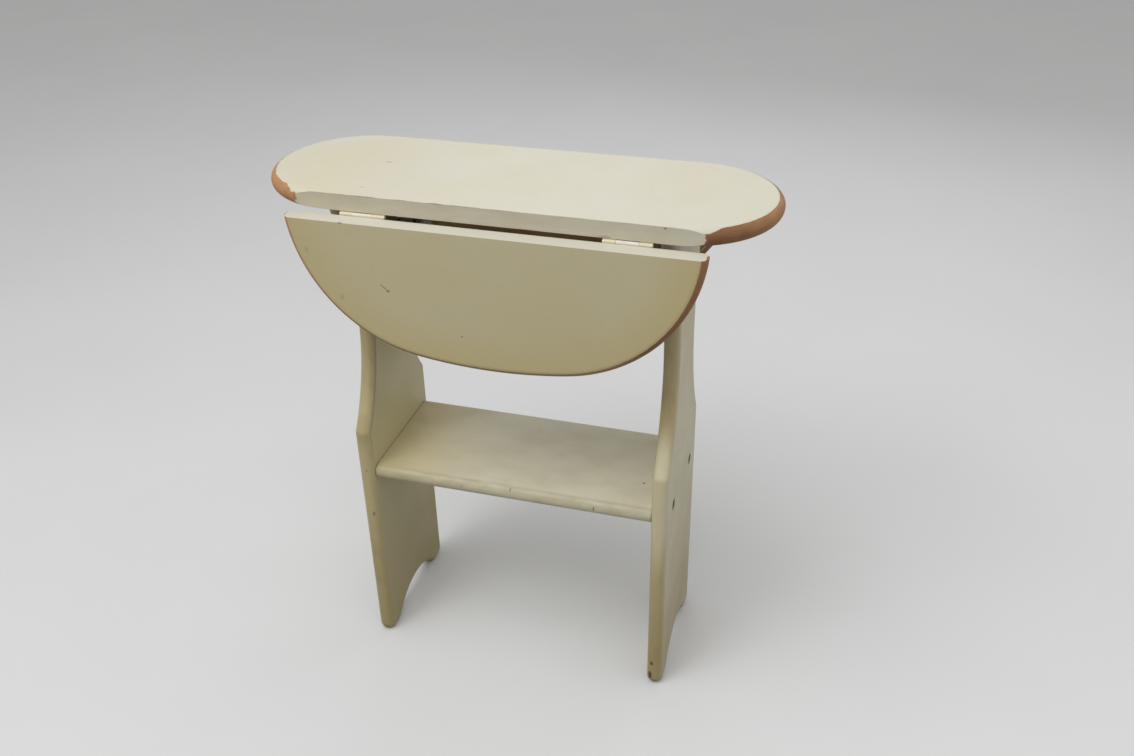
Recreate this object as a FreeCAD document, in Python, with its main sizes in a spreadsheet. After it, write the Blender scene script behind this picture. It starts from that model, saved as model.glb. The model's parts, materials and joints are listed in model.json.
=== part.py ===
import FreeCAD, Part
import math
import os
import Sketcher

V = FreeCAD.Vector

# Sizes in millimetres. x runs along the top, the front is at -y and z is up from the floor.
SIZES = {
    # Centre board
    "table_height": 624,
    "top_length": 572,
    "top_width": 184,
    "top_thickness": 19,
    "arc_overhang": 7,
    "nose_land": 0.1,
    # Leaves
    "leaf_length": 456,
    "leaf_depth": 160,
    "leaf_thickness": 19,
    "shoulder_length_share": 0.366,
    "shoulder_depth_share": 0.96,
    "joint_gap": 1.2,
    # Side panels
    "panel_spacing": 346,
    "panel_thickness": 19,
    "panel_setback": 8,
    "foot_setback": 4,
    "kink_drop": 289,
    "kink_radius": 9,
    "neck_drop": 160,
    "neck_depth": 93,
    "arch_span": 116,
    "arch_height": 26,
    "foot_radius": 10,
    "panel_round": 8,
    # Shelf and its screws
    "shelf_height": 265,
    "shelf_depth": 164,
    "shelf_thickness": 19,
    "shelf_screw_spacing": 96,
    "shelf_screw_length": 40,
    "shelf_screw_radius": 2.5,
    "shelf_head_radius": 5.25,
    "shelf_head_height": 3,
    "counterbore_radius": 6.25,
    "counterbore_depth": 4.5,
    # Cleats and their screws
    "cleat_end_gap": 13.6,
    "cleat_width": 19,
    "cleat_height": 19,
    "cleat_screw_inset": 15,
    "cleat_screw_length": 30,
    "cleat_screw_radius": 2,
    "cleat_head_radius": 4,
    # Hinges
    "hinge_length": 50.8,
    "hinge_end_gap": 3.9,
    "middle_knuckle_length": 23.7,
    "knuckle_radius": 2.5,
    "flap_width": 19,
    "flap_thickness": 1.5,
    "flap_corner": 2.5,
    "pin_radius": 1.2,
    "pin_head_radius": 1.9,
    "pin_head_height": 0.5,
    # Small screws of the hinges and the stay brackets
    "small_screw_length": 12,
    "small_screw_radius": 1.4,
    "small_head_radius": 2.8,
    "flap_screw_spacing": 30,
    "flap_screw_setback": 11,
    # Leaf stays
    "pivot_reach": 85,
    "pivot_clearance": 1.5,
    "stud_setback": 52.6,
    "arm_width": 16,
    "arm_thickness": 2,
    "catch_depth": 2,
    "stud_radius": 3,
    "stud_screw_radius": 2,
    "stud_screw_length": 12,
    "collar_length": 4,
    "collar_radius": 5,
    "stud_head_radius": 5.5,
    "stud_head_height": 2,
    "rivet_radius": 2.5,
    "rivet_head_radius": 4.5,
    "rivet_head_height": 1.2,
    "bracket_thickness": 1.5,
    "bracket_length": 24,
    "bracket_width": 19.4,
    "bracket_screw_spacing": 12,
    "ear_radius": 7,
    # Clearances, the countersinks' angle and the overrun of cuts
    "running_gap": 0.3,
    "pin_clearance": 0.05,
    "pivot_play": 0.1,
    "slot_clearance": 0.5,
    "screw_clearance": 0.05,
    "countersink_angle": 45,
    "overrun": 5,
}

doc = FreeCAD.newDocument("side_table")
sheet = doc.addObject("Spreadsheet::Sheet", "dims")
for row, (alias, size) in enumerate(SIZES.items(), 1):
    sheet.set(f"A{row}", alias)
    sheet.set(f"B{row}", str(size))
    sheet.setAlias(f"B{row}", alias)
doc.recompute()

# Places worked out from the sizes, as expressions
UNDERSIDE = "(dims.table_height - dims.top_thickness)"
AXIS_DROP = "(dims.knuckle_radius + dims.running_gap)"
AXIS_Y = "(dims.top_width / 2 + dims.joint_gap / 2)"
AXIS_Z = f"({UNDERSIDE} - {AXIS_DROP})"
LEAF_FACE = f"({AXIS_Y} + {AXIS_DROP})"
LEAF_TOP = f"({AXIS_Z} - dims.joint_gap / 2)"
PANEL_FACE = "(dims.panel_spacing / 2)"
PANEL_OUTER = "(dims.panel_spacing / 2 + dims.panel_thickness)"
SHELF_MIDDLE = "(dims.shelf_height - dims.shelf_thickness / 2)"
CLEAT_HALF = f"({AXIS_Y} - dims.flap_width - dims.cleat_end_gap)"
CLEAT_BOARD_SCREW = f"({CLEAT_HALF} - dims.cleat_screw_inset)"
CLEAT_PANEL_SCREW = f"({CLEAT_HALF} / 2)"
HINGE_X = f"({PANEL_FACE} - dims.hinge_end_gap - dims.hinge_length / 2)"
FLAP_FACE = f"({AXIS_DROP} - dims.flap_thickness)"

# The stay's pivot on the hanging leaf and its stud lie equally far from the hinge axis
PIVOT_OFFSET = f"(dims.arm_width / 2 + dims.pivot_clearance - {AXIS_DROP})"
PIVOT_Y = f"({AXIS_Y} - {PIVOT_OFFSET})"
PIVOT_Z = f"({AXIS_Z} - dims.pivot_reach)"
STUD_DROP = f"sqrt(dims.pivot_reach^2 + {PIVOT_OFFSET}^2 - dims.stud_setback^2)"
STUD_Y = f"({AXIS_Y} - dims.stud_setback)"
STUD_Z = f"({AXIS_Z} - {STUD_DROP})"
NEAR_RUN = f"(dims.stud_setback - {PIVOT_OFFSET})"
NEAR_RISE = f"(dims.pivot_reach - {STUD_DROP})"
SLOT_NEAR = f"sqrt({NEAR_RUN}^2 + {NEAR_RISE}^2)"
FAR_RUN = "(dims.stud_setback + dims.pivot_reach)"
FAR_RISE = f"({STUD_DROP} - {PIVOT_OFFSET})"
SLOT_FAR = f"sqrt({FAR_RUN}^2 + {FAR_RISE}^2)"
ARM_OUTER = f"({PANEL_FACE} - dims.collar_length - dims.running_gap)"
EAR_OUTER = f"({ARM_OUTER} - dims.arm_thickness - dims.running_gap)"
EAR_INNER = f"({EAR_OUTER} - dims.bracket_thickness)"

HALF_TURN = FreeCAD.Rotation(V(0, 0, 1), 180)
OPPOSITE_SIGNS = ("-", "")
pieces = []


def value(text):
    """Work out an expression in the sheet's sizes."""
    return float(sheet.evalExpression(text))


def new_piece(label):
    """Start a sub-part."""
    body = doc.addObject("PartDesign::Body", label)
    body.Label = label
    pieces.append(body)
    return body


def place(body, spot=("0", "0", "0"), rotation=FreeCAD.Rotation(), turned=False):
    """Place a sub-part. A turned one is carried half a turn round the table's upright axis."""
    if turned:
        x, y, z = spot
        spot = (f"-({x})", f"-({y})", z)
        rotation = HALF_TURN.multiply(rotation)
    body.Placement = FreeCAD.Placement(V(0, 0, 0), rotation)
    for axis, where in zip("xyz", spot):
        body.setExpression(f"Placement.Base.{axis}", where)


def new_sketch(body, role, offset="0"):
    """Make a sketch on one of the body's own origin planes, moved along the plane's normal."""
    plane = next(item for item in body.Origin.OriginFeatures if item.Role == role)
    sketch = body.newObject("Sketcher::SketchObject", f"{body.Name}_sketch")
    sketch.AttachmentSupport = [(plane, "")]
    sketch.MapMode = "FlatFace"
    sketch.setExpression("AttachmentOffset.Base.z", offset)
    return sketch


def bind_distance(sketch, kind, point, where):
    """Tie one coordinate of a sketch point to an expression."""
    constraint = Sketcher.Constraint(kind, -1, 1, point[0], point[1], value(where))
    number = sketch.addConstraint(constraint)
    sketch.setExpression(f"Constraints[{number}]", where)


def fix_point(sketch, point, x, y):
    """Fix a sketch point. A coordinate of zero puts it on the sketch's own axis."""
    for kind, axis, where in (("DistanceX", -2, x), ("DistanceY", -1, y)):
        if where == "0":
            sketch.addConstraint(Sketcher.Constraint("PointOnObject", point[0], point[1], axis))
        else:
            bind_distance(sketch, kind, point, where)


def draw_arc(sketch, start, stop, arc):
    """Draw an arc between two points. arc is its sense, and its centre's one given coordinate."""
    sense, axis, where = arc
    chord = stop - start
    middle = (start + stop) / 2
    normal = V(-chord.y, chord.x, 0)
    if axis == "x":
        centre = middle + normal * ((value(where) - middle.x) / normal.x)
    else:
        centre = middle + normal * ((value(where) - middle.y) / normal.y)
    first, last = (start, stop) if sense == "anticlockwise" else (stop, start)
    angle_from = math.atan2(first.y - centre.y, first.x - centre.x)
    angle_to = math.atan2(last.y - centre.y, last.x - centre.x)
    if angle_to < angle_from:
        angle_to += 2 * math.pi
    ring = Part.Circle(centre, V(0, 0, 1), (start - centre).Length)
    curve = sketch.addGeometry(Part.ArcOfCircle(ring, angle_from, angle_to))
    bind_distance(sketch, f"Distance{axis.upper()}", (curve, 3), where)
    ends = ((curve, 1), (curve, 2))
    return ends if sense == "anticlockwise" else ends[::-1]


def outline(sketch, corners, arcs=None):
    """Draw a closed outline through corners. arcs gives the sides that are arcs, by number."""
    arcs = arcs or {}
    spots = [V(value(x), value(y), 0) for x, y in corners]
    sides = []
    for number, start in enumerate(spots):
        stop = spots[(number + 1) % len(spots)]
        if number in arcs:
            sides.append(draw_arc(sketch, start, stop, arcs[number]))
        else:
            line = sketch.addGeometry(Part.LineSegment(start, stop))
            sides.append(((line, 1), (line, 2)))
    for number, (x, y) in enumerate(corners):
        here = sides[number][0]
        before = sides[number - 1][1]
        sketch.addConstraint(Sketcher.Constraint("Coincident", *before, *here))
        fix_point(sketch, here, x, y)


def rectangle(sketch, left, right, low, high):
    """Draw a rectangle between four sides."""
    outline(sketch, [(left, low), (right, low), (right, high), (left, high)])


def stadium(sketch, left, right, low, high):
    """Draw straight sides closed by a half circle at each end, centred at left and right."""
    corners = [(left, low), (right, low), (right, high), (left, high)]
    arcs = {1: ("anticlockwise", "x", right), 3: ("anticlockwise", "x", left)}
    outline(sketch, corners, arcs)


def circle(sketch, x, y, radius):
    """Draw a circle."""
    ring = Part.Circle(V(value(x), value(y), 0), V(0, 0, 1), value(radius))
    curve = sketch.addGeometry(ring)
    fix_point(sketch, (curve, 3), x, y)
    number = sketch.addConstraint(Sketcher.Constraint("Radius", curve, value(radius)))
    sketch.setExpression(f"Constraints[{number}]", radius)


def pad(body, sketch, length, symmetric=False):
    """Raise a sketch along its normal."""
    feature = body.newObject("PartDesign::Pad", f"{body.Name}_pad")
    feature.Profile = sketch
    feature.setExpression("Length", length)
    if symmetric:
        feature.SideType = "Symmetric"
    return feature


def pocket(body, sketch, depth, forward=True):
    """Cut a sketch into the body, along the sketch's normal or against it."""
    feature = body.newObject("PartDesign::Pocket", f"{body.Name}_pocket")
    feature.Profile = sketch
    feature.setExpression("Length", depth)
    feature.Reversed = forward
    return feature


def holes(body, role, offset, centres, radius, depth, forward=True):
    """Cut equal round holes from one plane."""
    sketch = new_sketch(body, role, offset)
    for x, y in centres:
        circle(sketch, x, y, radius)
    return pocket(body, sketch, depth, forward)


def screw_holes(body, role, offset, centres, head, shank, depth):
    """Cut countersunk screw holes from one plane, along its normal."""
    clearance = "dims.screw_clearance"
    holes(body, role, offset, centres, f"({shank} + {clearance})", depth)
    sink = holes(body, role, offset, centres, f"({head} + {clearance})", f"({head} - {shank})")
    sink.setExpression("TaperAngle", "-dims.countersink_angle")


def round_edges(body, base, chosen, radius):
    """Round the chosen edges of a body's feature."""
    doc.recompute()
    numbered = enumerate(base.Shape.Edges, 1)
    feature = body.newObject("PartDesign::Fillet", f"{body.Name}_fillet")
    feature.Base = (base, [f"Edge{number}" for number, edge in numbered if chosen(edge)])
    feature.setExpression("Radius", radius)
    return feature


def turned_piece(label, profile, spot, direction, turned=False):
    """Revolve a half profile of (radius, distance) corners about its own axis."""
    body = new_piece(label)
    sketch = new_sketch(body, "XZ_Plane")
    outline(sketch, profile)
    feature = body.newObject("PartDesign::Revolution", f"{body.Name}_turning")
    feature.Profile = sketch
    feature.ReferenceAxis = (sketch, ["V_Axis"])
    place(body, spot, FreeCAD.Rotation(V(0, 0, 1), direction), turned)
    return body


def countersunk_screw(label, head, shank, length, spot, direction, turned=False):
    """Make a screw with a cone head, flush with its face at spot, and a point."""
    profile = [("0", "0"), (head, "0"), (shank, f"({head} - {shank})")]
    profile += [(shank, f"({length} - 2 * {shank})"), ("0", length)]
    return turned_piece(label, profile, spot, direction, turned)


def small_screw(label, spot, direction, turned):
    """Make one screw of a hinge flap or a stay bracket."""
    sizes = ("dims.small_head_radius", "dims.small_screw_radius", "dims.small_screw_length")
    return countersunk_screw(label, *sizes, spot, direction, turned)


def both_signs(*expressions):
    """List the places with every mix of signs of the given coordinates."""
    places = [()]
    for text in expressions:
        places = [spot + (f"{sign}{text}",) for spot in places for sign in OPPOSITE_SIGNS]
    return places


def flap_screw_places(across):
    """List the screws of two hinges beside one leaf, where across is their other coordinate."""
    places = []
    for hinge in OPPOSITE_SIGNS:
        for side in ("-", "+"):
            places.append((f"({hinge}{HINGE_X} {side} dims.flap_screw_spacing / 2)", across))
    return places


# Top

def make_centre_board():
    """The fixed middle of the top: round ends cut off straight at the hinge lines."""
    body = new_piece("centre_board")
    radius = "(dims.top_width / 2 + dims.arc_overhang)"
    centre = f"(dims.top_length / 2 - {radius})"
    sketch = new_sketch(body, "XY_Plane", UNDERSIDE)
    stadium(sketch, f"-{centre}", centre, f"-{radius}", radius)
    board = pad(body, sketch, "dims.top_thickness")
    nose = "((dims.top_thickness - dims.nose_land) / 2)"
    round_edges(body, board, lambda edge: edge.BoundBox.ZLength < value(nose), nose)
    trim = new_sketch(body, "XY_Plane", f"({UNDERSIDE} - dims.overrun)")
    end = "(dims.top_length / 2 + dims.overrun)"
    far = f"({radius} + dims.overrun)"
    rectangle(trim, f"-{end}", end, "dims.top_width / 2", far)
    rectangle(trim, f"-{end}", end, f"-{far}", "-dims.top_width / 2")
    pocket(body, trim, "(dims.top_thickness + 2 * dims.overrun)")
    row = f"({AXIS_Y} - dims.flap_screw_setback)"
    flap_screws = flap_screw_places(row) + flap_screw_places(f"-{row}")
    shank = "(dims.small_screw_radius + dims.screw_clearance)"
    depth = "(dims.small_screw_length - dims.flap_thickness + dims.screw_clearance)"
    holes(body, "XY_Plane", UNDERSIDE, flap_screws, shank, depth)
    cleat_middle = f"({PANEL_FACE} - dims.cleat_width / 2)"
    cleat_screws = both_signs(cleat_middle, CLEAT_BOARD_SCREW)
    shank = "(dims.cleat_screw_radius + dims.screw_clearance)"
    depth = "(dims.cleat_screw_length - dims.cleat_height + dims.screw_clearance)"
    holes(body, "XY_Plane", UNDERSIDE, cleat_screws, shank, depth)


def leaf_outline(sketch):
    """Draw a hanging leaf: a flat bottom arc that turns into a side arc at each shoulder."""
    tip = "(dims.leaf_length / 2)"
    shoulder = f"(dims.shoulder_length_share * {tip})"
    drop = "(dims.shoulder_depth_share * dims.leaf_depth)"
    sag = f"(dims.leaf_depth - {drop})"
    radius = f"(({shoulder}^2 + {sag}^2) / (2 * {sag}))"
    run = f"({tip} - {shoulder})"
    across = f"(2 * (({radius} - {sag}) * {drop} - {shoulder} * {run}))"
    side_centre = f"({shoulder} * (1 - ({run}^2 + {drop}^2) / {across}))"
    low = f"({LEAF_TOP} - {drop})"
    corners = [(f"-{tip}", LEAF_TOP), (f"-{shoulder}", low), (shoulder, low), (tip, LEAF_TOP)]
    arcs = {
        0: ("anticlockwise", "x", f"-{side_centre}"),
        1: ("anticlockwise", "y", f"({LEAF_TOP} - dims.leaf_depth + {radius})"),
        2: ("anticlockwise", "x", side_centre),
    }
    outline(sketch, corners, arcs)


def make_leaf(name, turned):
    """One drop leaf, hanging, with its curved edge rounded and its joint edge square."""
    body = new_piece(f"{name}_leaf")
    sketch = new_sketch(body, "XZ_Plane", LEAF_FACE)
    leaf_outline(sketch)
    board = pad(body, sketch, "dims.leaf_thickness")
    nose = "((dims.leaf_thickness - dims.nose_land) / 2)"
    top = value(f"{LEAF_TOP} - dims.nose_land")

    def on_curve(edge):
        return edge.BoundBox.YLength < value(nose) and edge.BoundBox.ZMin < top

    round_edges(body, board, on_curve, nose)
    screws = flap_screw_places(f"({AXIS_Z} - dims.flap_screw_setback)")
    shank = "(dims.small_screw_radius + dims.screw_clearance)"
    depth = "(dims.small_screw_length - dims.flap_thickness + dims.screw_clearance)"
    holes(body, "XZ_Plane", LEAF_FACE, screws, shank, depth)
    depth = "(dims.small_screw_length - dims.bracket_thickness + dims.screw_clearance)"
    holes(body, "XZ_Plane", LEAF_FACE, bracket_screw_places(), shank, depth)
    place(body, turned=turned)


# Frame

def panel_outline(sketch):
    """Draw a side panel: arched foot, straight lower part, waist and spreading head."""
    foot = "(dims.top_width / 2 - dims.foot_setback)"
    head = "(dims.top_width / 2 - dims.panel_setback)"
    neck = "(dims.neck_depth / 2)"
    neck_z = f"({UNDERSIDE} - dims.neck_drop)"
    toe = f"({foot} - dims.foot_radius)"
    arch = "(dims.arch_span / 2)"
    arch_centre = f"(dims.arch_height / 2 - {arch}^2 / (2 * dims.arch_height))"
    # The waist's arc and the straight side would meet at the kink, which a small arc rounds
    narrowing = f"({foot} - {neck})"
    waist_fall = "(dims.kink_drop - dims.neck_drop)"
    waist_radius = f"(({narrowing}^2 + {waist_fall}^2) / (2 * {narrowing}))"
    reach = f"({waist_radius} + dims.kink_radius)"
    across = f"({reach} - {narrowing})"
    down = f"sqrt({reach}^2 - {across}^2)"
    kink_z = f"({neck_z} - {down})"
    touch_y = f"({neck} + {waist_radius} * (1 - {across} / {reach}))"
    touch_z = f"({neck_z} - {waist_radius} * {down} / {reach})"
    kink_centre = f"({foot} - dims.kink_radius)"
    right = [
        (f"{arch}", "0"), (toe, "0"), (foot, "dims.foot_radius"), (foot, kink_z),
        (touch_y, touch_z), (neck, neck_z), (head, UNDERSIDE),
    ]
    left = [(f"-{y}", z) for y, z in reversed(right)]
    arcs = {
        1: ("anticlockwise", "x", toe),
        3: ("anticlockwise", "x", kink_centre),
        4: ("clockwise", "y", neck_z),
        5: ("clockwise", "y", neck_z),
        7: ("clockwise", "y", neck_z),
        8: ("clockwise", "y", neck_z),
        9: ("anticlockwise", "x", f"-{kink_centre}"),
        11: ("anticlockwise", "x", f"-{toe}"),
        13: ("clockwise", "y", arch_centre),
    }
    outline(sketch, right + left, arcs)


def make_side_panel(name, turned):
    """One side panel, rounded along its outline, with its screw holes and the stud's hole."""
    body = new_piece(f"{name}_side_panel")
    sketch = new_sketch(body, "YZ_Plane", PANEL_FACE)
    panel_outline(sketch)
    board = pad(body, sketch, "dims.panel_thickness")
    top = value(f"{UNDERSIDE} - dims.nose_land")

    def on_outline(edge):
        return edge.BoundBox.XLength < value("dims.panel_thickness") / 2 and edge.BoundBox.ZMin < top

    round_edges(body, board, on_outline, "dims.panel_round")
    clearance = "dims.screw_clearance"
    cleat_z = f"({UNDERSIDE} - dims.cleat_height / 2)"
    cleat_screws = [(spot[0], cleat_z) for spot in both_signs(CLEAT_PANEL_SCREW)]
    depth = f"(dims.cleat_screw_length - dims.cleat_width + {clearance})"
    holes(body, "YZ_Plane", PANEL_FACE, cleat_screws, f"(dims.cleat_screw_radius + {clearance})", depth)
    stud = [(f"-{STUD_Y}", STUD_Z)]
    depth = f"(dims.stud_screw_length + {clearance})"
    holes(body, "YZ_Plane", PANEL_FACE, stud, f"(dims.stud_screw_radius + {clearance})", depth)
    shelf_screws = [(spot[0], SHELF_MIDDLE) for spot in both_signs("(dims.shelf_screw_spacing / 2)")]
    shank = f"(dims.shelf_screw_radius + {clearance})"
    through = "(dims.panel_thickness + 2 * dims.overrun)"
    holes(body, "YZ_Plane", f"({PANEL_FACE} - dims.overrun)", shelf_screws, shank, through)
    bore = "dims.counterbore_radius"
    holes(body, "YZ_Plane", PANEL_OUTER, shelf_screws, bore, "dims.counterbore_depth", forward=False)
    place(body, turned=turned)


def make_shelf():
    """The shelf between the panels, with half-round front and rear edges."""
    body = new_piece("shelf")
    sketch = new_sketch(body, "YZ_Plane")
    flat = "(dims.shelf_depth / 2 - dims.shelf_thickness / 2)"
    low = "(dims.shelf_height - dims.shelf_thickness)"
    stadium(sketch, f"-{flat}", flat, low, "dims.shelf_height")
    pad(body, sketch, "dims.panel_spacing", symmetric=True)
    screws = [(spot[0], SHELF_MIDDLE) for spot in both_signs("(dims.shelf_screw_spacing / 2)")]
    radius = "(dims.shelf_screw_radius + dims.screw_clearance)"
    sunk = "(dims.counterbore_depth - dims.shelf_head_height)"
    depth = f"(dims.shelf_screw_length + {sunk} - dims.panel_thickness + dims.screw_clearance)"
    holes(body, "YZ_Plane", PANEL_FACE, screws, radius, depth, forward=False)
    holes(body, "YZ_Plane", f"-{PANEL_FACE}", screws, radius, depth)


def make_shelf_screws(name, turned):
    """The two screws that hold one end of the shelf, sunk in counterbores."""
    head = "dims.shelf_head_radius"
    shank = "dims.shelf_screw_radius"
    profile = [("0", "0"), (head, "0"), (head, "dims.shelf_head_height")]
    profile += [(shank, "dims.shelf_head_height"), (shank, f"(dims.shelf_screw_length - 2 * {shank})")]
    profile += [("0", "dims.shelf_screw_length")]
    sunk = "(dims.counterbore_depth - dims.shelf_head_height)"
    for number, (y,) in enumerate(both_signs("(dims.shelf_screw_spacing / 2)"), 1):
        spot = (f"({PANEL_OUTER} - {sunk})", y, SHELF_MIDDLE)
        turned_piece(f"{name}_shelf_screw_{number}", profile, spot, V(-1, 0, 0), turned)


def make_cleat(name, turned):
    """The batten that joins one side panel to the underside of the centre board."""
    body = new_piece(f"{name}_cleat")
    inner = f"({PANEL_FACE} - dims.cleat_width)"
    low = f"({UNDERSIDE} - dims.cleat_height)"
    sketch = new_sketch(body, "YZ_Plane", inner)
    rectangle(sketch, f"-{CLEAT_HALF}", CLEAT_HALF, low, UNDERSIDE)
    pad(body, sketch, "dims.cleat_width")
    head = "dims.cleat_head_radius"
    shank = "dims.cleat_screw_radius"
    cleat_z = f"({UNDERSIDE} - dims.cleat_height / 2)"
    into_panel = [(spot[0], cleat_z) for spot in both_signs(CLEAT_PANEL_SCREW)]
    screw_holes(body, "YZ_Plane", inner, into_panel, head, shank, "dims.cleat_width")
    cleat_middle = f"({PANEL_FACE} - dims.cleat_width / 2)"
    into_board = [(cleat_middle, spot[0]) for spot in both_signs(CLEAT_BOARD_SCREW)]
    screw_holes(body, "XY_Plane", low, into_board, head, shank, "dims.cleat_height")
    place(body, turned=turned)
    sizes = (head, shank, "dims.cleat_screw_length")
    for number, (y, z) in enumerate(into_panel, 1):
        label = f"{name}_cleat_panel_screw_{number}"
        countersunk_screw(label, *sizes, (inner, y, z), V(1, 0, 0), turned)
    for number, (x, y) in enumerate(into_board, 1):
        label = f"{name}_cleat_board_screw_{number}"
        countersunk_screw(label, *sizes, (x, y, low), V(0, 0, 1), turned)


# Hinges

def make_flap(label, knuckles, fingers, spot, rotation, turned):
    """One hinge flap, drawn about the hinge's own centre with the plate over the axis."""
    body = new_piece(label)
    sketch = new_sketch(body, "XY_Plane", FLAP_FACE)
    end = "(dims.hinge_length / 2)"
    outline(sketch, [(f"-{end}", "dims.flap_width"), *fingers, (end, "dims.flap_width")])
    plate = pad(body, sketch, "dims.flap_thickness")
    far = value("dims.flap_width - dims.flap_corner")
    round_edges(body, plate, lambda edge: edge.BoundBox.YMin > far
                and edge.BoundBox.XLength < value("dims.flap_corner"), "dims.flap_corner")
    for start, length in knuckles:
        ring = new_sketch(body, "YZ_Plane", start)
        circle(ring, "0", "0", "dims.knuckle_radius")
        pad(body, ring, length)
    bore = "(dims.pin_radius + dims.pin_clearance)"
    through = "(dims.hinge_length + 2 * dims.overrun)"
    holes(body, "YZ_Plane", f"-({end} + dims.overrun)", [("0", "0")], bore, through)
    screws = [(spot_x, "dims.flap_screw_setback") for spot_x, in both_signs("(dims.flap_screw_spacing / 2)")]
    head = "dims.small_head_radius"
    shank = "dims.small_screw_radius"
    screw_holes(body, "XY_Plane", FLAP_FACE, screws, head, shank, "dims.flap_thickness")
    place(body, spot, rotation, turned)


def make_hinge(leaf, end, turned):
    """One hinge: the board's flap with two knuckles, the leaf's with one, and the pin."""
    sign = "" if (end == "right") != turned else "-"
    spot = (f"{sign}{HINGE_X}", f"-{AXIS_Y}", AXIS_Z)
    name = f"{leaf}_{end}_hinge"
    edge = "(dims.hinge_length / 2)"
    middle = "(dims.middle_knuckle_length / 2)"
    split = f"({middle} + dims.running_gap)"
    near = "dims.pin_radius"
    clear = "(dims.knuckle_radius + dims.running_gap)"
    outer = [(f"-{edge}", f"({edge} - {split})"), (split, f"({edge} - {split})")]
    outer_fingers = [(f"-{edge}", near), (f"-{split}", near), (f"-{split}", clear)]
    outer_fingers += [(split, clear), (split, near), (edge, near)]
    make_flap(f"{name}_board_flap", outer, outer_fingers, spot, FreeCAD.Rotation(), turned)
    inner = [(f"-{middle}", "dims.middle_knuckle_length")]
    inner_fingers = [(f"-{edge}", clear), (f"-{middle}", clear), (f"-{middle}", near)]
    inner_fingers += [(middle, near), (middle, clear), (edge, clear)]
    hanging = FreeCAD.Rotation(V(0, 1, -1), 180)
    make_flap(f"{name}_leaf_flap", inner, inner_fingers, spot, hanging, turned)
    head = "dims.pin_head_radius"
    low = f"-({edge} + dims.pin_head_height)"
    high = f"({edge} + dims.pin_head_height)"
    profile = [("0", low), (head, low), (head, f"-{edge}"), (near, f"-{edge}")]
    profile += [(near, edge), (head, edge), (head, high), ("0", high)]
    turned_piece(f"{name}_pin", profile, spot, V(1, 0, 0), turned)
    for number, side in enumerate(("-", "+"), 1):
        x = f"({sign}{HINGE_X} {side} dims.flap_screw_spacing / 2)"
        board_spot = (x, f"-({AXIS_Y} - dims.flap_screw_setback)", f"({AXIS_Z} + {FLAP_FACE})")
        small_screw(f"{name}_board_screw_{number}", board_spot, V(0, 0, 1), turned)
        leaf_spot = (x, f"-({AXIS_Y} + {FLAP_FACE})", f"({AXIS_Z} - dims.flap_screw_setback)")
        small_screw(f"{name}_leaf_screw_{number}", leaf_spot, V(0, -1, 0), turned)


# Leaf stays

def bracket_screw_places():
    """List the two screws of a stay bracket, as x and z on the leaf."""
    x = f"({EAR_INNER} - (dims.bracket_width - dims.bracket_thickness) / 2)"
    return [(x, f"({PIVOT_Z} {side} dims.bracket_screw_spacing / 2)") for side in ("-", "+")]


def make_stay_bracket(leaf, turned):
    """The angle on the leaf that carries the stay's pivot, and its two screws."""
    body = new_piece(f"{leaf}_stay_bracket")
    back = f"({LEAF_FACE} - dims.bracket_thickness)"
    foot = new_sketch(body, "XZ_Plane", back)
    half = "dims.bracket_length / 2"
    edge = f"({EAR_OUTER} - dims.bracket_width)"
    rectangle(foot, edge, EAR_OUTER, f"({PIVOT_Z} - {half})", f"({PIVOT_Z} + {half})")
    pad(body, foot, "dims.bracket_thickness")
    ear = new_sketch(body, "YZ_Plane", EAR_INNER)
    low = f"({PIVOT_Z} - dims.ear_radius)"
    high = f"({PIVOT_Z} + dims.ear_radius)"
    corners = [(f"-{LEAF_FACE}", low), (f"-{PIVOT_Y}", low), (f"-{PIVOT_Y}", high), (f"-{LEAF_FACE}", high)]
    outline(ear, corners, {1: ("anticlockwise", "x", f"-{PIVOT_Y}")})
    pad(body, ear, "dims.bracket_thickness")
    eye = "(dims.rivet_radius + dims.screw_clearance)"
    through = "(dims.bracket_thickness + 2 * dims.overrun)"
    start = f"({EAR_INNER} - dims.overrun)"
    holes(body, "YZ_Plane", start, [(f"-{PIVOT_Y}", PIVOT_Z)], eye, through)
    head = "dims.small_head_radius"
    shank = "dims.small_screw_radius"
    screw_holes(body, "XZ_Plane", back, bracket_screw_places(), head, shank, "dims.bracket_thickness")
    place(body, turned=turned)
    for number, (x, z) in enumerate(bracket_screw_places(), 1):
        small_screw(f"{leaf}_stay_bracket_screw_{number}", (x, f"-{back}", z), V(0, -1, 0), turned)


def make_stay_rivet(leaf, turned):
    """The rivet that joins the stay's arm to its bracket."""
    head = "dims.rivet_head_radius"
    shank = "dims.rivet_radius"
    rise = "dims.rivet_head_height"
    grip = "(dims.bracket_thickness + dims.arm_thickness + 2 * dims.running_gap)"
    profile = [("0", f"-{rise}"), (head, f"-{rise}"), (head, "0"), (shank, "0"), (shank, grip)]
    profile += [(head, grip), (head, f"({grip} + {rise})"), ("0", f"({grip} + {rise})")]
    spot = (EAR_INNER, f"-{PIVOT_Y}", PIVOT_Z)
    turned_piece(f"{leaf}_stay_rivet", profile, spot, V(1, 0, 0), turned)


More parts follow.
